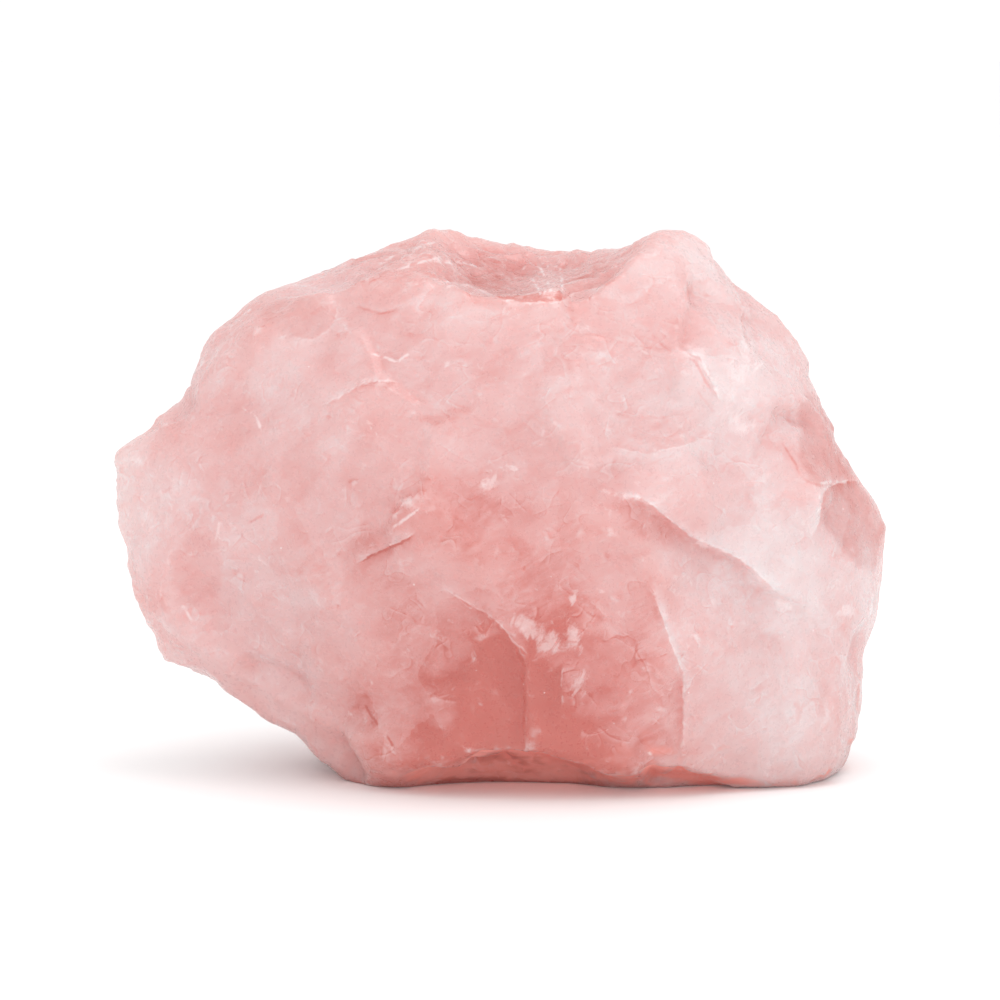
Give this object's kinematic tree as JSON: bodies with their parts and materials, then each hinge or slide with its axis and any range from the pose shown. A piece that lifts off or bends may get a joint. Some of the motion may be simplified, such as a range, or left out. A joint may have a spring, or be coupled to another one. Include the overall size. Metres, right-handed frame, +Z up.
{
  "type": "rose quartz chunk",
  "caption": "Rough free-standing chunk of cloudy pink rose quartz with a broad broken front face, a hollow on top and worn facets that it rests on.",
  "frame": {"origin": "on the surface that the chunk rests on, under the middle of its box", "axes": "+X to the right along the broad front face, -Y out of that face, +Z up"},
  "size_m": [0.11, 0.065, 0.0772],
  "materials": {
    "rose_quartz": "cloudy translucent pink, softly glossy broken surface"
  },
  "bodies": {
    "root": {"rose_quartz_chunk": "rose_quartz"}
  },
  "joints": []
}
